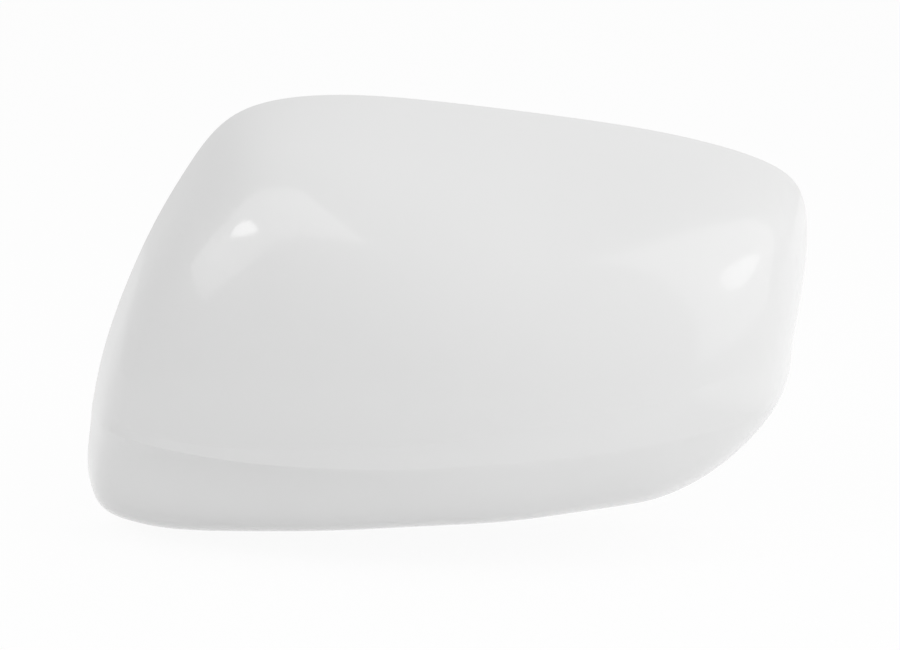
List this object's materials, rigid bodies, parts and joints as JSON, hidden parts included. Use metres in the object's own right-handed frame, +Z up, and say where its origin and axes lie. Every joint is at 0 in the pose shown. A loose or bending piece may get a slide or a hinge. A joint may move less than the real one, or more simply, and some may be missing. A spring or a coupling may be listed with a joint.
{
  "type": "wing mirror cover",
  "caption": "Moulded cover cap for a door mirror: a deep one-piece shell with a soft shoulder, a creased lower band and clips and pins inside its flat rim.",
  "frame": {"origin": "middle of the rim's box, on the flat rim plane that meets the mirror housing", "axes": "+Z up as fitted, -Y the way the cover bulges (forwards), +Y from the rim into the mirror housing, +X towards the door"},
  "size_m": [0.2248, 0.0749, 0.1347],
  "materials": {
    "gloss_white_cover": "gloss white paint on ABS"
  },
  "bodies": {
    "root": {"mirror_cover": "gloss_white_cover"}
  },
  "joints": []
}
